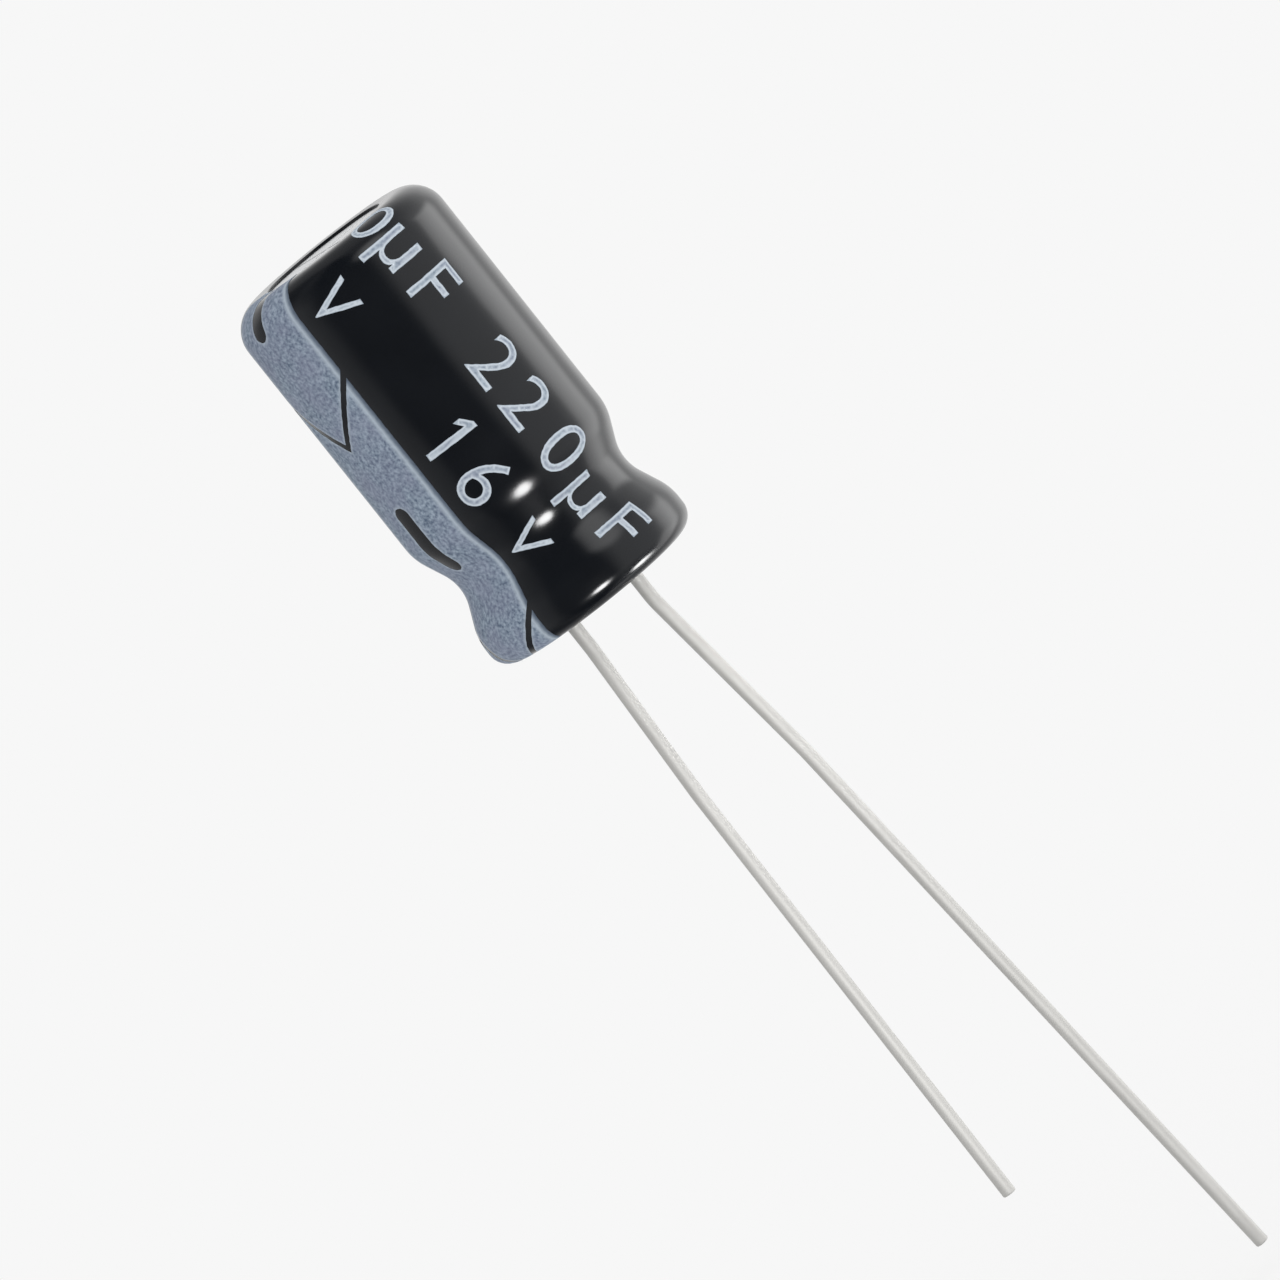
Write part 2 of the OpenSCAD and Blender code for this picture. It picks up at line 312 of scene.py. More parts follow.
def hammered_aluminium():
    """Tab aluminium, forged flat: satin, with shallow dents from the dies."""
    material, tree = new_material("tab_aluminium")
    place = add(tree, "ShaderNodeTexCoord").outputs["Object"]
    dents = add(tree, "ShaderNodeTexVoronoi", {
        "Vector": place, "Scale": 1 / (0.25 * MM)}, feature="SMOOTH_F1")
    tone = add(tree, "ShaderNodeMix", {
        "Factor": dents.outputs["Distance"], "A": colour("#c2c4c7"), "B": colour("#d6d8da")},
        data_type="RGBA")
    bump = add(tree, "ShaderNodeBump", {"Height": dents.outputs["Distance"], "Distance": 0.01 * MM})
    metal = add(tree, "ShaderNodeBsdfPrincipled", {
        "Base Color": tone.outputs["Result"], "Metallic": 1.0, "Roughness": 0.4,
        "Normal": bump.outputs["Normal"]})
    add(tree, "ShaderNodeOutputMaterial", {"Surface": metal.outputs["BSDF"]})
    return material


tab_metal = hammered_aluminium()
for node, material in (
    ("winding", foil_and_paper()),
    ("winding_tape", film_tape()),
    ("anode_tab", tab_metal),
    ("cathode_tab", tab_metal),
):
    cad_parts[node].data.materials.clear()
    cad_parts[node].data.materials.append(material)


# Bung. A plug of moulded butyl rubber, squeezed by the bead and held in by the curled rim, with a
# stepped hole for each tab. Its face sits a little above the board inside the rim.
BUNG_RECESS = 0.3
BUNG_TOP_Z = 3.62
LEDGE_Z = 1.1
LEAD_X = 1.25
HOLE_R = 0.46
LEDGE_HOLE_R = 0.39
HOLE_SIDES = 64
FIT = 0.01


def butyl_rubber():
    """Moulded rubber: dull and nearly black, with the mould's fine blasted grain."""
    material, tree = new_material("bung_rubber")
    place = add(tree, "ShaderNodeTexCoord").outputs["Object"]
    grain = add(tree, "ShaderNodeTexNoise", {"Vector": place, "Scale": 1 / (0.06 * MM), "Detail": 3.0})
    cloud = add(tree, "ShaderNodeTexNoise", {"Vector": place, "Scale": 1 / (0.9 * MM), "Detail": 2.0})
    tone = add(tree, "ShaderNodeMix", {
        "Factor": cloud.outputs["Fac"], "A": colour("#232324"), "B": colour("#343435")},
        data_type="RGBA")
    bump = add(tree, "ShaderNodeBump", {
        "Height": grain.outputs["Fac"], "Distance": 0.006 * MM, "Strength": 0.7})
    rubber = add(tree, "ShaderNodeBsdfPrincipled", {
        "Base Color": tone.outputs["Result"], "Roughness": 0.72, "IOR": 1.52,
        "Normal": bump.outputs["Normal"]})
    add(tree, "ShaderNodeOutputMaterial", {"Surface": rubber.outputs["BSDF"]})
    return material


def stepped_hole(x):
    """Hole for one tab: narrow round the weld, wider round the stem."""
    low_z = BUNG_RECESS - 1
    high_z = BUNG_TOP_Z + 1
    steps = [(LEDGE_HOLE_R, low_z), (LEDGE_HOLE_R, LEDGE_Z), (HOLE_R, LEDGE_Z), (HOLE_R, high_z)]
    tool = revolve([(0, low_z)] + steps + [(0, high_z)], sides=HOLE_SIDES)
    bmesh.ops.translate(tool, vec=(x, 0, 0), verts=tool.verts)
    return tool


bung_side = [(r, z) for r, z in outline(-CAN_WALL - FIT) if z < BUNG_TOP_Z]
bung_edge_r = CURL_EDGE_R - FIT
bung_section = (
    [(0, BUNG_RECESS), (bung_edge_r, BUNG_RECESS), (bung_edge_r, RIM_Z + CAN_WALL + FIT)]
    + bung_side
    + [(bung_side[-1][0], BUNG_TOP_Z), (0, BUNG_TOP_Z)]
)
plug = cut(cut(revolve(bung_section), stepped_hole(LEAD_X)), stepped_hole(-LEAD_X))
finish_mesh("bung_plug", plug, butyl_rubber(), ["bung"])


# Leads. Copper-clad steel wire, dipped in tin and butt welded to the tabs inside the bung, the
# anode's longer. Each comes out straight, splays a little and eases back, as handling leaves it.
WIRE_R = 0.2
WELD_R = 0.38
WELD_L = 0.12
WIRE_TOP_Z = 0.05
STRAIGHT_L = 0.9
BEND_R = 3.0
BEND_STEPS = 8
PIECE_L = 1.2
WIRE_SIDES = 32
# The crop rounds the tip: distance from its end in mm, and share of the wire's radius there.
TIP_ROUND = ((0.05, 1.0), (0.015, 0.97), (0.0, 0.86))


def tinned_wire():
    """Hot-dipped tin: pale and matte, half metal and half haze, with drag marks along the wire."""
    material, tree = new_material("tinned_wire")
    place = add(tree, "ShaderNodeTexCoord").outputs["Object"]
    along = add(tree, "ShaderNodeMapping", {"Vector": place, "Scale": (1.0, 1.0, 0.08)})
    drag = add(tree, "ShaderNodeTexNoise", {
        "Vector": along.outputs["Vector"], "Scale": 1 / (0.16 * MM), "Detail": 2.0, "Roughness": 0.5})
    tone = add(tree, "ShaderNodeMix", {
        "Factor": drag.outputs["Fac"], "A": colour("#c6c5c2"), "B": colour("#dad9d6")},
        data_type="RGBA")
    gloss = add(tree, "ShaderNodeMapRange", {"Value": drag.outputs["Fac"], "To Min": 0.6, "To Max": 0.74})
    bump = add(tree, "ShaderNodeBump", {
        "Height": drag.outputs["Fac"], "Distance": 0.006 * MM, "Strength": 0.4})
    metal = add(tree, "ShaderNodeBsdfPrincipled", {
        "Base Color": tone.outputs["Result"], "Metallic": 0.5, "Roughness": gloss.outputs["Result"],
        "Normal": bump.outputs["Normal"]})
    add(tree, "ShaderNodeOutputMaterial", {"Surface": metal.outputs["BSDF"]})
    return material


def wire_line(length, splay_deg, run, back_deg):
    """Centre line (x, z, angle) of a lead from its weld to its tip, splaying towards +X. run is the straight
    between its two bends."""
    line = [(0.0, z, 0.0) for z in (WIRE_TOP_Z, -STRAIGHT_L)]
    x, z, angle = 0.0, -STRAIGHT_L, 0.0
    used = STRAIGHT_L
    for bend_deg, straight in ((splay_deg, run), (-back_deg, None)):
        step = math.radians(bend_deg) / BEND_STEPS
        for _ in range(BEND_STEPS):
            x += BEND_R * abs(step) * math.sin(angle + step / 2)
            z -= BEND_R * abs(step) * math.cos(angle + step / 2)
            angle += step
            used += BEND_R * abs(step)
            line.append((x, z, angle))
        straight = length - used if straight is None else straight
        pieces = max(1, round(straight / PIECE_L))
        for _ in range(pieces):
            x += straight / pieces * math.sin(angle)
            z -= straight / pieces * math.cos(angle)
            line.append((x, z, angle))
        used += straight
    return line


def wire(name, node, side, length, splay_deg, run, back_deg, material):
    """One lead, on the +X side (1) or the -X side (-1), from the weld's top to the cropped tip."""
    weld_z = LEDGE_Z - WELD_L
    rings = [(0.0, LEDGE_Z, 0.0, WELD_R), (0.0, weld_z, 0.0, WELD_R)]
    for share in (0.2, 0.4, 0.6, 0.8):
        taper = share * share * (3 - 2 * share)
        z = weld_z - share * (weld_z - WIRE_TOP_Z)
        rings.append((0.0, z, 0.0, WELD_R + (WIRE_R - WELD_R) * taper))
    line = wire_line(length, splay_deg, run, back_deg)
    rings += [(x, z, angle, WIRE_R) for x, z, angle in line[:-1]]
    x, z, angle = line[-1]
    for inset, share in TIP_ROUND:
        rings.append((x - inset * math.sin(angle), z + inset * math.cos(angle), angle, WIRE_R * share))
    made = bmesh.new()
    loops = []
    for x, z, angle, radius in rings:
        loop = []
        for i in range(WIRE_SIDES):
            a = 2 * math.pi * i / WIRE_SIDES
            out = radius * math.cos(a)
            loop.append(made.verts.new((
                side * (LEAD_X + x + out * math.cos(angle)),
                radius * math.sin(a),
                z + out * math.sin(angle),
            )))
        loops.append(loop)
    for high, low in zip(loops, loops[1:]):
        for i in range(WIRE_SIDES):
            j = (i + 1) % WIRE_SIDES
            made.faces.new((high[i], high[j], low[j], low[i]))
    made.faces.new(loops[0])
    made.faces.new(loops[-1])
    return finish_mesh(name, made, material, [node], sharp_deg=60)


tin = tinned_wire()
wire("anode_wire", "anode_lead", side=1, length=25.4, splay_deg=7.8, run=5.6, back_deg=2.6, material=tin)
wire("cathode_wire", "cathode_lead", side=-1, length=19.5, splay_deg=2.8, run=4.7, back_deg=2.2, material=tin)


# Sleeve. A length of extruded black PVC tube, printed flat and shrunk onto the can with hot air, so
# it follows the bead and laps over the crown and under the rim with a slightly wavy cut edge.
SLEEVE_T = 0.15
SLEEVE_GAP = FIT + SLEEVE_T
CROWN_HOLE_R = 1.88
CROWN_THIN = 0.06
FOOT_HOLE_R = 2.5
CROWN_LIP_T = 0.075
LIP_ROUND = 0.03
FOOT_ROUND = 0.04
WAVE = 0.035
CROWN_WAVE_REACH = 0.35
FOOT_WAVE_REACH = 0.2


def shrunk_pvc():
    """Heat-shrunk PVC: glossy black, with long soft ripples and a fine orange peel."""
    material, tree = new_material("shrunk_pvc")
    place = add(tree, "ShaderNodeTexCoord").outputs["Object"]
    cloud = add(tree, "ShaderNodeTexNoise", {"Vector": place, "Scale": 1 / (1.4 * MM), "Detail": 3.0})
    tone = add(tree, "ShaderNodeMix", {
        "Factor": cloud.outputs["Fac"], "A": colour("#090c11"), "B": colour("#11151b")},
        data_type="RGBA")
    gloss = add(tree, "ShaderNodeMapRange", {"Value": cloud.outputs["Fac"], "To Min": 0.13, "To Max": 0.22})
    stretched = add(tree, "ShaderNodeMapping", {"Vector": place, "Scale": (1.0, 1.0, 0.35)})
    ripple = add(tree, "ShaderNodeTexNoise", {
        "Vector": stretched.outputs["Vector"], "Scale": 1 / (1.1 * MM), "Detail": 1.0})
    peel = add(tree, "ShaderNodeTexNoise", {"Vector": place, "Scale": 1 / (0.09 * MM), "Detail": 2.0})
    soft = add(tree, "ShaderNodeBump", {
        "Height": ripple.outputs["Fac"], "Distance": 0.03 * MM, "Strength": 0.6})
    fine = add(tree, "ShaderNodeBump", {
        "Height": peel.outputs["Fac"], "Distance": 0.001 * MM, "Strength": 0.5,
        "Normal": soft.outputs["Normal"]})
    plastic = add(tree, "ShaderNodeBsdfPrincipled", {
        "Base Color": tone.outputs["Result"], "Roughness": gloss.outputs["Result"], "IOR": 1.54,
        "Normal": fine.outputs["Normal"]})
    add(tree, "ShaderNodeOutputMaterial", {"Surface": plastic.outputs["BSDF"]})
    return material


def wavy_lip(r, z, angle):
    """Moves a sleeve point near either cut edge outwards by 0 to WAVE, as an uneven cut shrinks."""
    if z > CROWN_Z:
        edge, wave_reach, phase = CROWN_HOLE_R, CROWN_WAVE_REACH, 0.4
    elif z < RIM_Z:
        edge, wave_reach, phase = FOOT_HOLE_R, FOOT_WAVE_REACH, 2.1
    else:
        return r
    near = max(0.0, 1 - (r - edge) / wave_reach)
    wave = math.sin(3 * angle + phase) + 0.6 * math.sin(7 * angle + 2 * phase) + 0.3 * math.sin(13 * angle)
    highest = 1.9  # the three waves' heights together
    return r + WAVE * (wave / highest + 1) / 2 * near * near


outside = outline(SLEEVE_GAP, CROWN_THIN)
foot_z = RIM_Z - SLEEVE_GAP
outer = [(FOOT_HOLE_R + FOOT_ROUND, foot_z)] + outside
lip_z = CROWN_Z + FIT + CROWN_LIP_T
shoulder_r = CAN_R - CROWN_R
crown_taper = []
for share in (0.25, 0.5, 0.75, 1.0):
    crown_taper.append((
        shoulder_r + share * (CROWN_HOLE_R + LIP_ROUND - shoulder_r),
        outside[-1][1] + share * share * (lip_z - outside[-1][1]),
    ))
crown_lip = crown_taper + arc((CROWN_HOLE_R + LIP_ROUND, lip_z - LIP_ROUND), LIP_ROUND, 75, 180, 5)
inner = [(CROWN_HOLE_R, CROWN_Z + FIT)] + outline(FIT)[::-1] + [(FOOT_HOLE_R, RIM_Z - FIT)]
foot_lip = arc((FOOT_HOLE_R + FOOT_ROUND, foot_z + FOOT_ROUND), FOOT_ROUND, 180, 270, 5)[:-1]
sleeve_section = outer + crown_lip + inner + foot_lip
finish_mesh("sleeve_tube", revolve(sleeve_section, nudge=wavy_lip), shrunk_pvc(), ["sleeve"])


# Print. The field of grey-blue ink that marks the cathode, with arrowheads and minus bars left open,
# and a plain rating in the same ink; the figures' copy of it is painted lighter, as painted light from
# the front right. It is printed on the flat tube, so it shrinks round every curve.
INK_T = 0.008
INK_SINK = 0.002
STRIPE_W = 3.2
STRIPE_START = 0.08
STRIPE_END_Z = 0.03
MARK_PITCH = 8.1
BAR_Z = 4.17
BAR_L = 2.35
BAR_W = 0.58
ARROW_Z = 7.4
ARROW_SLOPE = 47.5
ARROW_W = 0.18
GRID = 0.1
WOBBLE = 0.014
WOBBLE_SIZE = 0.14
WOBBLE_SEED = 1

noise.seed_set(WOBBLE_SEED)  # without a seed, Blender's noise vectors differ from run to run
sleeve_r = CAN_R + SLEEVE_GAP
skin = [(CROWN_HOLE_R, lip_z)] + crown_taper[::-1] + outside[::-1]
skin = [p for p, q in zip(skin, skin[1:]) if math.dist(p, q) > 1e-6] + [skin[-1]]
reach = [0.0]
for p, q in zip(skin, skin[1:]):
    reach.append(reach[-1] + math.dist(p, q))


def reach_at(z):
    """Distance down the sleeve's skin, from the crown's hole, to where it is at height z."""
    for i in range(len(skin) - 1):
        if skin[i + 1][1] <= z < skin[i][1]:
            share = (skin[i][1] - z) / (skin[i][1] - skin[i + 1][1])
            return reach[i] + share * (reach[i + 1] - reach[i])
    return reach[-1]


def on_skin(distance, lift):
    """Point (r, z) on the sleeve's skin at that distance from the crown's hole, lifted off it."""
    i = 0
    while i < len(skin) - 2 and reach[i + 1] < distance:
        i += 1
    (r0, z0), (r1, z1) = skin[i], skin[i + 1]
    span = reach[i + 1] - reach[i]
    share = (distance - reach[i]) / span
    out = Vector((z0 - z1, r1 - r0)) / span
    if i + 2 < len(skin) and share > 0.5:
        other = (Vector((z1 - skin[i + 2][1], skin[i + 2][0] - r1))).normalized()
        out = out.lerp(other, share - 0.5)
    elif i > 0 and share <= 0.5:
        other = (Vector((skin[i - 1][1] - z0, r0 - skin[i - 1][0]))).normalized()
        out = out.lerp(other, 0.5 - share)
    out.normalize()
    return r0 + share * (r1 - r0) + lift * out[0], z0 + share * (z1 - z0) + lift * out[1]


def slice_flat(flat, normal, offset, faces=None):
    """Cuts a flat bmesh, or only some of its faces, along the line where normal . point = offset."""
    direction = Vector((normal[0], normal[1], 0)).normalized()
    if faces is None:
        geometry = flat.verts[:] + flat.edges[:] + flat.faces[:]
    else:
        edges = {edge for face in faces for edge in face.edges}
        geometry = list({vert for face in faces for vert in face.verts}) + list(edges) + list(faces)
    bmesh.ops.bisect_plane(flat, geom=geometry, plane_co=direction * offset, plane_no=direction, dist=1e-6)


def wrap_print(flat, angle, material, name, replaced=(), half_width=math.inf, mark_offset=0.0):
    """Lays a flat print on the sleeve as a closed film. In the flat, x runs down the can from the crown's
    hole and y round it, counted from the given angle. Each point keeps its distance from the print's edge
    for the ink to read. In a field of that half width it counts from mark_offset at the marks cut into it,
    so that only the field's own sides get the dark line."""
    film = bmesh.new()
    edge_distance = film.verts.layers.float.new("edge_distance")
    at_edge = {vert for edge in flat.edges if len(edge.link_faces) == 1 for vert in edge.verts}
    edge_tree = kdtree.KDTree(len(at_edge))
    for vert in at_edge:
        edge_tree.insert(vert.co, vert.index)
    edge_tree.balance()
    from_edge = {}
    for vert in flat.verts:
        nearest = edge_tree.find(vert.co)[2] + mark_offset
        from_edge[vert.index] = min(nearest, max(0.0, half_width - abs(vert.co.y)))
    for vert in flat.verts:
        shift = noise.noise_vector(vert.co / WOBBLE_SIZE) * WOBBLE
        vert.co += Vector((shift.x, shift.y, 0))
    layers = []
    for lift in (INK_T, -INK_SINK):
        layer = {}
        for vert in flat.verts:
            r, z = on_skin(vert.co.x, lift)
            a = math.radians(angle) + vert.co.y / sleeve_r
            layer[vert.index] = film.verts.new((r * math.cos(a), r * math.sin(a), z))
            layer[vert.index][edge_distance] = from_edge[vert.index]
        layers.append(layer)
    for face in flat.faces:
        film.faces.new([layers[0][v.index] for v in face.verts])
        film.faces.new([layers[1][v.index] for v in reversed(face.verts)])
    for edge in flat.edges:
        if len(edge.link_faces) == 1:
            a, b = (v.index for v in edge.verts)
            film.faces.new((layers[0][a], layers[0][b], layers[1][b], layers[1][a]))
    flat.free()
    return finish_mesh(name, film, material, replaced, sharp_deg=50)


def stripe_ink(name, dark, light, edge_and_highlight_stops):
    """Vinyl ink, rolled on: matte and speckled, with lines of other colour near its edges, whose pale band
    is a painted highlight, given as stops of (distance from the edge in mm, colour, share)."""
    material, tree = new_material(name)
    place = add(tree, "ShaderNodeTexCoord").outputs["Object"]
    grain = add(tree, "ShaderNodeTexNoise", {
        "Vector": place, "Scale": 1 / (0.1 * MM), "Detail": 3.0, "Roughness": 0.6})
    cloud = add(tree, "ShaderNodeTexNoise", {"Vector": place, "Scale": 1 / (0.9 * MM), "Detail": 2.0})
    speckle = add(tree, "ShaderNodeMapRange", {
        "Value": grain.outputs["Fac"], "From Min": 0.34, "From Max": 0.66})
    tone = add(tree, "ShaderNodeMix", {
        "Factor": speckle.outputs["Result"], "A": colour(dark), "B": colour(light)},
        data_type="RGBA")
    tint = add(tree, "ShaderNodeMapRange", {
        "Value": cloud.outputs["Fac"], "From Min": 0.35, "From Max": 0.65, "To Max": 0.4})
    lilac = add(tree, "ShaderNodeMix", {
        "Factor": tint.outputs["Result"], "A": tone.outputs["Result"], "B": colour("#85889f")},
        data_type="RGBA")
    from_edge = add(tree, "ShaderNodeAttribute", attribute_name="edge_distance")
    reach_in = edge_and_highlight_stops[-1][0]
    share_in = add(tree, "ShaderNodeMapRange", {"Value": from_edge.outputs["Fac"], "From Max": reach_in})
    # The ramp paints the lines near the print's edges; its pale band is a painted highlight.
    rim = add(tree, "ShaderNodeValToRGB", {"Fac": share_in.outputs["Result"]})
    for _ in edge_and_highlight_stops[2:]:
        rim.color_ramp.elements.new(0.5)
    for element, (distance, code, amount) in zip(rim.color_ramp.elements, edge_and_highlight_stops):
        element.position = distance / reach_in
        element.color = colour(code)[:3] + [amount]
    final = add(tree, "ShaderNodeMix", {
        "Factor": rim.outputs["Alpha"], "A": lilac.outputs["Result"], "B": rim.outputs["Color"]},
        data_type="RGBA")
    bump = add(tree, "ShaderNodeBump", {
        "Height": grain.outputs["Fac"], "Distance": 0.002 * MM, "Strength": 0.6})
    ink = add(tree, "ShaderNodeBsdfPrincipled", {
        "Base Color": final.outputs["Result"], "Roughness": 0.62, "IOR": 1.5, "Specular IOR Level": 0.3,
        "Normal": bump.outputs["Normal"]})
    add(tree, "ShaderNodeOutputMaterial", {"Surface": ink.outputs["BSDF"]})
    return material


def bar_end(facing):
    """Normals of the flats that round a bar's end, which faces the foot (1) or the crown (-1)."""
    return [(facing * math.cos(math.radians(a)), math.sin(math.radians(a))) for a in range(-75, 76, 15)]


def stripe_sheet():
    """The flat field of ink from the crown's hole to the foot, with its marks cut out."""
    start, end = STRIPE_START, reach_at(STRIPE_END_Z)
    flat = bmesh.new()
    corners = [flat.verts.new((x, y, 0)) for x, y in (
        (start, -STRIPE_W / 2), (end, -STRIPE_W / 2), (end, STRIPE_W / 2), (start, STRIPE_W / 2))]
    flat.faces.new(corners)
    for i in range(1, int((end - start) / GRID)):
        slice_flat(flat, (1, 0), start + i * GRID)
    for i in range(1, int(STRIPE_W / GRID)):
        slice_flat(flat, (0, 1), -STRIPE_W / 2 + i * GRID)
    bars = []
    for shift in (0.0, MARK_PITCH):
        high = reach_at(BAR_Z + BAR_L / 2) - shift
        low = reach_at(BAR_Z - BAR_L / 2) - shift
        bars.append((high, low))
        slice_flat(flat, (1, 0), high)
        slice_flat(flat, (1, 0), low)
    for side in (-1, 1):
        slice_flat(flat, (0, 1), side * BAR_W / 2)
    for high, low in bars:
        for centre, facing in ((high + BAR_W / 2, -1), (low - BAR_W / 2, 1)):
            for normal in bar_end(facing):
                middle = Vector((centre, 0, 0))
                near = [f for f in flat.faces if (f.calc_center_median() - middle).length < BAR_W]
                slice_flat(flat, normal, centre * normal[0] + BAR_W / 2, near)
    slope_rad = math.radians(ARROW_SLOPE)
    tips = [reach_at(ARROW_Z), reach_at(ARROW_Z) + MARK_PITCH]
    for tip in tips:
        for side in (-1, 1):
            normal = (math.cos(slope_rad), side * math.sin(slope_rad))
            for edge in (-1, 1):
                slice_flat(flat, normal, tip * normal[0] + edge * ARROW_W / 2)
    open_faces = []
    for face in flat.faces:
        x, y, _ = face.calc_center_median()
        in_bar = abs(y) < BAR_W / 2 and any(
            high < x < low
            and all((x - high - BAR_W / 2) * n[0] + y * n[1] < BAR_W / 2 for n in bar_end(-1))
            and all((x - low + BAR_W / 2) * n[0] + y * n[1] < BAR_W / 2 for n in bar_end(1))
            for high, low in bars)
        in_arrow = any(
            abs((x - tip) * math.cos(slope_rad) + abs(y) * math.sin(slope_rad)) < ARROW_W / 2 for tip in tips)
        if in_bar or in_arrow:
            open_faces.append(face)
    bmesh.ops.delete(flat, geom=open_faces, context="FACES")
    flat.verts.index_update()
    return flat


MARK_OFFSET = 0.2
# The stripe's edge: a dark line at the cut, then a pale band that is a painted highlight.
STRIPE_EDGE_AND_HIGHLIGHT = ((0.0, "#46515f", 0.9), (0.07, "#657180", 0.8), (0.17, "#b4c0cb", 0.8), (0.3, "#b4c0cb", 0.0))
field_ink = stripe_ink("stripe_ink", "#55657a", "#9caaba", STRIPE_EDGE_AND_HIGHLIGHT)
wrap_print(stripe_sheet(), 180.0, field_ink, "stripe_film", ["polarity_stripe"], STRIPE_W / 2, MARK_OFFSET)

# Plain figures for a common value, set where such cans carry theirs. Each is (text, height above the
# board of its middle), and the row runs down the can with the tops of the figures to the right. A size is
# (width, height, drop below the row's foot). FRONT_DEG is the side of the sleeve that faces the camera.
FIGURE_H = 1.6
USUAL_SIZE = (0.95, FIGURE_H, 0.0)
FIGURE_SIZE = {
    "0": (0.95, 1.7, 0.04), "1": (0.45, FIGURE_H, 0.0), "V": (0.98, 1.25, 0.0), "F": (0.8, FIGURE_H, 0.0),
    "µ": (0.95, 1.6, 0.42)}
FIGURE_ONE = ((0.24, 0), (0.45, 0), (0.45, 1.6), (0.29, 1.6), (0.0, 1.34), (0.0, 1.12), (0.24, 1.31))
FRONT_DEG = -122.0
ROW_ONE_DEG = FRONT_DEG + 31.3
ROW_TWO_DEG = FRONT_DEG - 9.4
ROW_ONE = (
    ("2", 6.89), ("2", 5.5), ("0", 3.92), ("µ", 2.62), ("F", 1.3), ("0", 12.04), ("µ", 10.9), ("F", 9.45))
ROW_TWO = (("1", 6.11), ("6", 4.61), ("V", 2.6), ("V", 10.8))
STRAIGHT_TOP_Z = 11.5
CROWN_CUT = 0.12


def figure_sheet(text, middle):
    """One figure as a flat print whose x runs down the can from the crown's hole, where it is cut off. The
    font's own 1 has no flag, so it is drawn."""
    flat = bmesh.new()
    if text == "1":
        flat.faces.new([flat.verts.new((x, y, 0)) for x, y in FIGURE_ONE])
        flat.normal_update()
        bmesh.ops.triangulate(flat, faces=flat.faces)
    else:
        curve = bpy.data.curves.new("figure", "FONT")
        curve.body = text
        curve.resolution_u = 6
        curve.fill_mode = "FRONT"
        carrier = bpy.data.objects.new("figure", curve)
        scene.collection.objects.link(carrier)
        bpy.context.view_layer.update()
        flat.from_mesh(carrier.evaluated_get(bpy.context.evaluated_depsgraph_get()).to_mesh())
        bpy.data.objects.remove(carrier)
        bpy.data.curves.remove(curve)
    left, right = min(v.co.x for v in flat.verts), max(v.co.x for v in flat.verts)
    foot, top = min(v.co.y for v in flat.verts), max(v.co.y for v in flat.verts)
    width, height, drop = FIGURE_SIZE.get(text, USUAL_SIZE)
    low_x, high_x = middle - width / 2, middle + width / 2
    low_y = -FIGURE_H / 2 - drop
    high_y = low_y + height
    for vert in flat.verts:
        vert.co.x = low_x + (vert.co.x - left) / (right - left) * (high_x - low_x)
        vert.co.y = low_y + (vert.co.y - foot) / (top - foot) * (high_y - low_y)
        vert.co.z = 0
    for i in range(1, int((high_x - low_x) / GRID) + 1):
        slice_flat(flat, (1, 0), low_x + i * GRID)
    for i in range(1, int((high_y - low_y) / GRID) + 1):
        slice_flat(flat, (0, 1), low_y + i * GRID)
    bmesh.ops.delete(flat, geom=[v for v in flat.verts if v.co.x < CROWN_CUT], context="VERTS")
    flat.verts.index_update()
    return flat


# The figures' edge: a pale band that is a painted highlight.
FIGURE_EDGE_AND_HIGHLIGHT = ((0.0, "#a8b4c0", 0.9), (0.03, "#d0d9e1", 0.9), (0.09, "#d0d9e1", 0.0))
# The figures' ink is the stripe's ink painted lighter: painted light from the front right.
figure_ink_painted_lighter = stripe_ink("figure_ink_painted_lighter", "#7d8b9a", "#a9b6c2", FIGURE_EDGE_AND_HIGHLIGHT)
for row, (turn_deg, figures) in enumerate(((ROW_ONE_DEG, ROW_ONE), (ROW_TWO_DEG, ROW_TWO)), 1):
    for place_no, (text, height) in enumerate(figures, 1):
        # A figure over the crown's edge is a repeat of one that stands a mark's pitch below it.
        shift = 0.0 if height < STRAIGHT_TOP_Z else MARK_PITCH
        middle = reach_at(height - shift) - shift
        wrap_print(figure_sheet(text, middle), turn_deg, figure_ink_painted_lighter, f"figure_{row}_{place_no}")


# Studio. Pale paper all round that is open on the camera's side, a bright card on the right with the
# gaps between its sheets, and a soft window high on the right. One small lamp stands low in front, and
# one with a grid stands low on the right, where only the rim shows it.
PAPER = "#f7f7f7"
WHITE_FLOOR = "#fefefe"
FLOOR_Z = -26.0
FLOOR_R = 200.0
SHADE_FROM = 30.0
SHADE_TO = 80.0
# What the gloss shows, by the turn to the camera's right in degrees.
LIGHT_ROUND = (
    (-180, 1.0), (-148, 0.9), (-118, 0.33), (-88, 0.28), (-66, 0.5), (-50, 0.32), (-34, 0.07), (22, 0.07),
    (40, 0.68), (82, 0.73), (90, 0.9), (98, 2.3), (106, 2.7), (119, 2.8), (134, 1.0), (151, 1.15),
    (166, 0.95), (180, 1.0))
BRIGHTEST = 3.0
# Between these heights, as sines, the room darkens to the ground, the card ends and the ceiling starts.
GROUND_BAND = (-0.8, -0.4)
GROUND = 0.4
CARD_TOP_BAND = (0.1, 0.28)
CEILING_BAND = (0.3, 0.8)
CEILING = 0.35
WINDOW_WAY = (46, 40)
WINDOW_BAND = (0.92, 0.99)
WINDOW = 1.3
# The light that surfaces scatter: a plain level, more from the front right and less from behind.
PLAIN_LEVEL = 0.8
SOFT_WAY = (48, 30)
SLANT = 0.42

level_front = Vector((towards_camera.x, towards_camera.y, 0)).normalized()


def direction(turn_deg, rise_deg):
    """Unit vector by its turn to the camera's right and its height, in degrees."""
    turned, rise = math.radians(turn_deg), math.radians(rise_deg)
    level = level_front * math.cos(turned) + level_right * math.sin(turned)
    return level * math.cos(rise) + Vector((0, 0, math.sin(rise)))


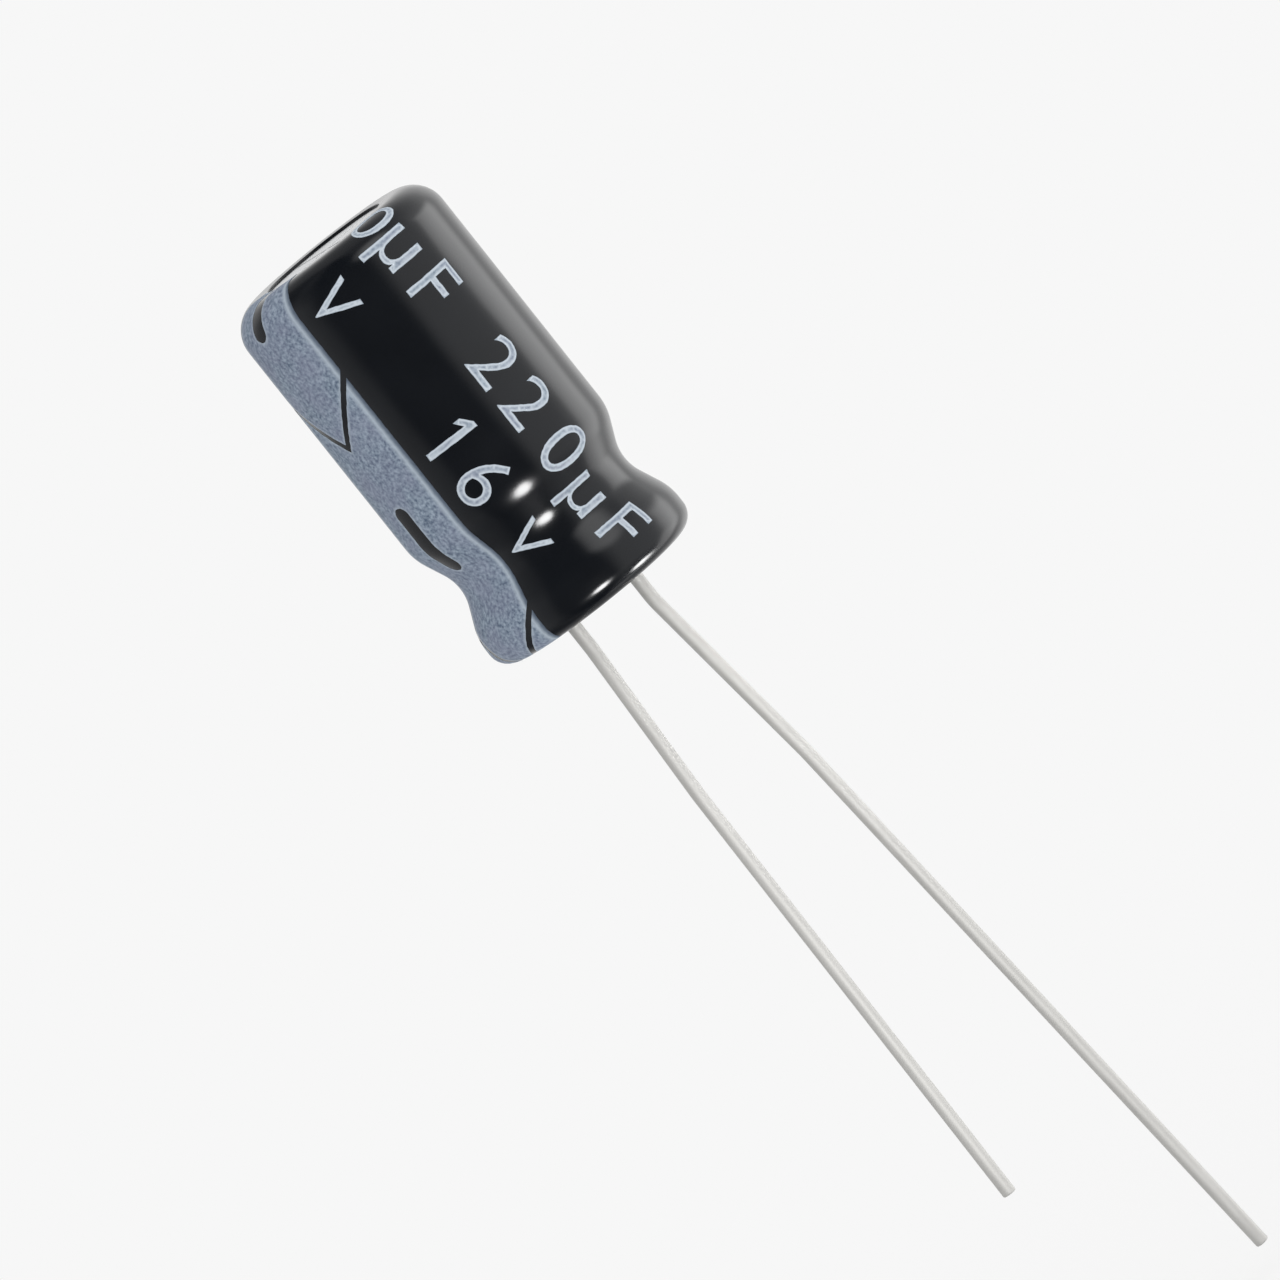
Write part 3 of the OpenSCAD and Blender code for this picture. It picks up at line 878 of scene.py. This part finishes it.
def floor_disc():
    """Round paper floor just under the leads' tips, which can be seen through from below."""
    made = bmesh.new()
    bmesh.ops.create_circle(made, cap_ends=True, radius=FLOOR_R * MM, segments=96)
    bmesh.ops.translate(made, vec=(0, 0, FLOOR_Z * MM), verts=made.verts)
    mesh = bpy.data.meshes.new("floor")
    made.to_mesh(mesh)
    made.free()
    floor = bpy.data.objects.new("floor", mesh)
    scene.collection.objects.link(floor)
    material, tree = new_material("floor_paper")
    path = add(tree, "ShaderNodeLightPath")
    surface = add(tree, "ShaderNodeNewGeometry")
    length = add(tree, "ShaderNodeVectorMath", {0: surface.outputs["Position"]}, operation="LENGTH")
    near = add(tree, "ShaderNodeMapRange", {
        "Value": length.outputs["Value"], "From Min": SHADE_FROM * MM, "From Max": SHADE_TO * MM,
        "To Min": 0.5, "To Max": 0.0},
        interpolation_type="SMOOTHSTEP")
    paper = add(tree, "ShaderNodeBsdfDiffuse", {"Color": colour(WHITE_FLOOR)})
    glow = add(tree, "ShaderNodeEmission", {"Color": colour(PAPER)})
    shade = add(tree, "ShaderNodeMixShader", {
        0: near.outputs["Result"], 1: glow.outputs["Emission"], 2: paper.outputs["BSDF"]})
    direct = add(tree, "ShaderNodeMath", {
        0: path.outputs["Is Camera Ray"], 1: path.outputs["Is Transmission Ray"]}, operation="MAXIMUM")
    seen = add(tree, "ShaderNodeMixShader", {
        0: direct.outputs["Value"], 1: paper.outputs["BSDF"], 2: shade.outputs["Shader"]})
    clear = add(tree, "ShaderNodeBsdfTransparent")
    side = add(tree, "ShaderNodeMixShader", {
        0: surface.outputs["Backfacing"], 1: seen.outputs["Shader"], 2: clear.outputs["BSDF"]})
    add(tree, "ShaderNodeOutputMaterial", {"Surface": side.outputs["Shader"]})
    mesh.materials.append(material)
    floor.visible_glossy = False


def studio_paper():
    """World: flat paper for the camera, the room for reflections, and plain soft light for the rest."""
    world = bpy.data.worlds.new("studio")
    scene.world = world
    world.use_nodes = True
    tree = world.node_tree
    tree.nodes.clear()
    path = add(tree, "ShaderNodeLightPath")
    way = add(tree, "ShaderNodeTexCoord").outputs["Generated"]
    right = add(tree, "ShaderNodeVectorMath", {0: way, 1: level_right}, operation="DOT_PRODUCT")
    front = add(tree, "ShaderNodeVectorMath", {0: way, 1: level_front}, operation="DOT_PRODUCT")
    turned = add(tree, "ShaderNodeMath", {
        0: right.outputs["Value"], 1: front.outputs["Value"]}, operation="ARCTAN2")
    share = add(tree, "ShaderNodeMapRange", {
        "Value": turned.outputs["Value"], "From Min": -math.pi, "From Max": math.pi})
    room = add(tree, "ShaderNodeValToRGB", {"Fac": share.outputs["Result"]})
    ramp = room.color_ramp
    ramp.interpolation = "EASE"
    for turn_deg, _ in LIGHT_ROUND[1:-1]:
        ramp.elements.new((turn_deg + 180) / 360)
    for element, (turn_deg, level) in zip(ramp.elements, LIGHT_ROUND):
        element.color = [level / BRIGHTEST] * 3 + [1]
    height = add(tree, "ShaderNodeSeparateXYZ", {"Vector": way})
    lower = add(tree, "ShaderNodeMapRange", {
        "Value": height.outputs["Z"], "From Min": GROUND_BAND[0], "From Max": GROUND_BAND[1],
        "To Min": GROUND * BRIGHTEST, "To Max": BRIGHTEST})
    upper = add(tree, "ShaderNodeMapRange", {
        "Value": height.outputs["Z"], "From Min": CEILING_BAND[0], "From Max": CEILING_BAND[1],
        "To Min": 1.0, "To Max": CEILING})
    around = add(tree, "ShaderNodeMath", {
        0: room.outputs["Color"], 1: lower.outputs["Result"]}, operation="MULTIPLY")
    card_top = add(tree, "ShaderNodeMapRange", {
        "Value": height.outputs["Z"], "From Min": CARD_TOP_BAND[0], "From Max": CARD_TOP_BAND[1],
        "To Min": BRIGHTEST, "To Max": 1.0})
    below = add(tree, "ShaderNodeMath", {
        0: around.outputs["Value"], 1: card_top.outputs["Result"]}, operation="MINIMUM")
    window_way = add(tree, "ShaderNodeVectorMath", {
        0: way, 1: direction(*WINDOW_WAY)}, operation="DOT_PRODUCT")
    window = add(tree, "ShaderNodeMapRange", {
        "Value": window_way.outputs["Value"], "From Min": WINDOW_BAND[0], "From Max": WINDOW_BAND[1],
        "To Max": WINDOW},
        interpolation_type="SMOOTHSTEP")
    reflected = add(tree, "ShaderNodeMath", {
        0: below.outputs["Value"], 1: upper.outputs["Result"], 2: window.outputs["Result"]},
        operation="MULTIPLY_ADD")
    slant = add(tree, "ShaderNodeVectorMath", {
        0: way, 1: direction(*SOFT_WAY) * SLANT}, operation="DOT_PRODUCT")
    plain = add(tree, "ShaderNodeMath", {0: slant.outputs["Value"], 1: PLAIN_LEVEL}, operation="ADD")
    lit = add(tree, "ShaderNodeMix", {
        "Factor": path.outputs["Is Glossy Ray"], "A": plain.outputs["Value"],
        "B": reflected.outputs["Value"]})
    direct = add(tree, "ShaderNodeMath", {
        0: path.outputs["Is Camera Ray"], 1: path.outputs["Is Transmission Ray"]}, operation="MAXIMUM")
    chosen = add(tree, "ShaderNodeMix", {
        "Factor": direct.outputs["Value"], "A": lit.outputs["Result"], "B": colour(PAPER)}, data_type="RGBA")
    ground = add(tree, "ShaderNodeBackground", {"Color": chosen.outputs["Result"], "Strength": 1.0})
    add(tree, "ShaderNodeOutputWorld", {"Surface": ground.outputs["Background"]})


def soft_lamp(name, turn_deg, rise_deg, distance, width, height, watts, spread_deg=180):
    """Area lamp aimed at the bead, placed by its turn to the camera's right and its height in degrees. A
    grid in front of it may narrow its spread."""
    aim = Vector((0, 0, BEAD_Z))
    place = aim + direction(turn_deg, rise_deg) * distance
    lamp = bpy.data.objects.new(name, bpy.data.lights.new(name, "AREA"))
    scene.collection.objects.link(lamp)
    lamp.data.shape = "ELLIPSE"
    lamp.data.size = width * MM
    lamp.data.size_y = height * MM
    lamp.data.energy = watts
    lamp.data.spread = math.radians(spread_deg)
    lamp.location = place * MM
    lamp.rotation_mode = "QUATERNION"
    lamp.rotation_quaternion = (place - aim).to_track_quat("Z", "Y")
    lamp.visible_camera = False
    lamp.visible_diffuse = False


floor_disc()
studio_paper()
soft_lamp("low_lamp", turn_deg=6, rise_deg=-30, distance=40, width=12, height=13, watts=0.0095)
soft_lamp(
    "rim_lamp", turn_deg=76, rise_deg=-57, distance=30, width=12, height=8, watts=0.00026, spread_deg=40)
